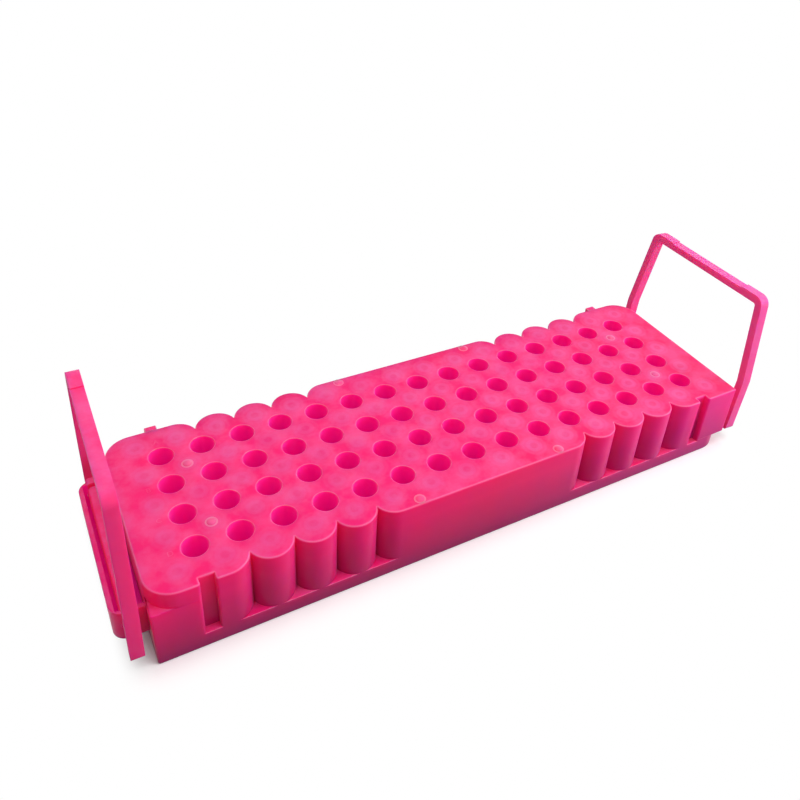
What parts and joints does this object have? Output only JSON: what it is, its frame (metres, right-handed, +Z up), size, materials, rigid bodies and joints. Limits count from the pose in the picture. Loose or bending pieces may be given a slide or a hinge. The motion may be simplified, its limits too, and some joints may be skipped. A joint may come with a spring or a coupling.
{
  "type": "microcentrifuge tube rack",
  "caption": "Low reversible rack with a grid of blind wells on each face, scalloped long sides and a snap-in carrying handle at each end.",
  "frame": {"origin": "centre of the block's footprint, on the table plane under it", "axes": "+Z up out of the small-tube face, +X along the rack to the square keyed corner's end, -Y out of the notched long side"},
  "size_m": [0.2408, 0.0705, 0.0636],
  "materials": {
    "pink_polypropylene": "translucent hot-pink polypropylene, satin from the mould",
    "pink_polypropylene_handle": "translucent hot-pink polypropylene, satin from the mould"
  },
  "bodies": {
    "rack": {"rack_body": "pink_polypropylene"},
    "left_handle": {"handle_left": "pink_polypropylene_handle"},
    "right_handle": {"handle_right": "pink_polypropylene_handle"}
  },
  "joints": [
    {"name": "left_handle_hinge", "type": "hinge", "parent": "rack", "child": "left_handle", "pos_m": [-0.1157, 0, 0.0135], "axis": [0, -1, 0], "range_deg": [-8, 15]},
    {"name": "right_handle_hinge", "type": "hinge", "parent": "rack", "child": "right_handle", "pos_m": [0.1157, 0, 0.0135], "axis": [0, 1, 0], "range_deg": [-12, 11]}
  ]
}
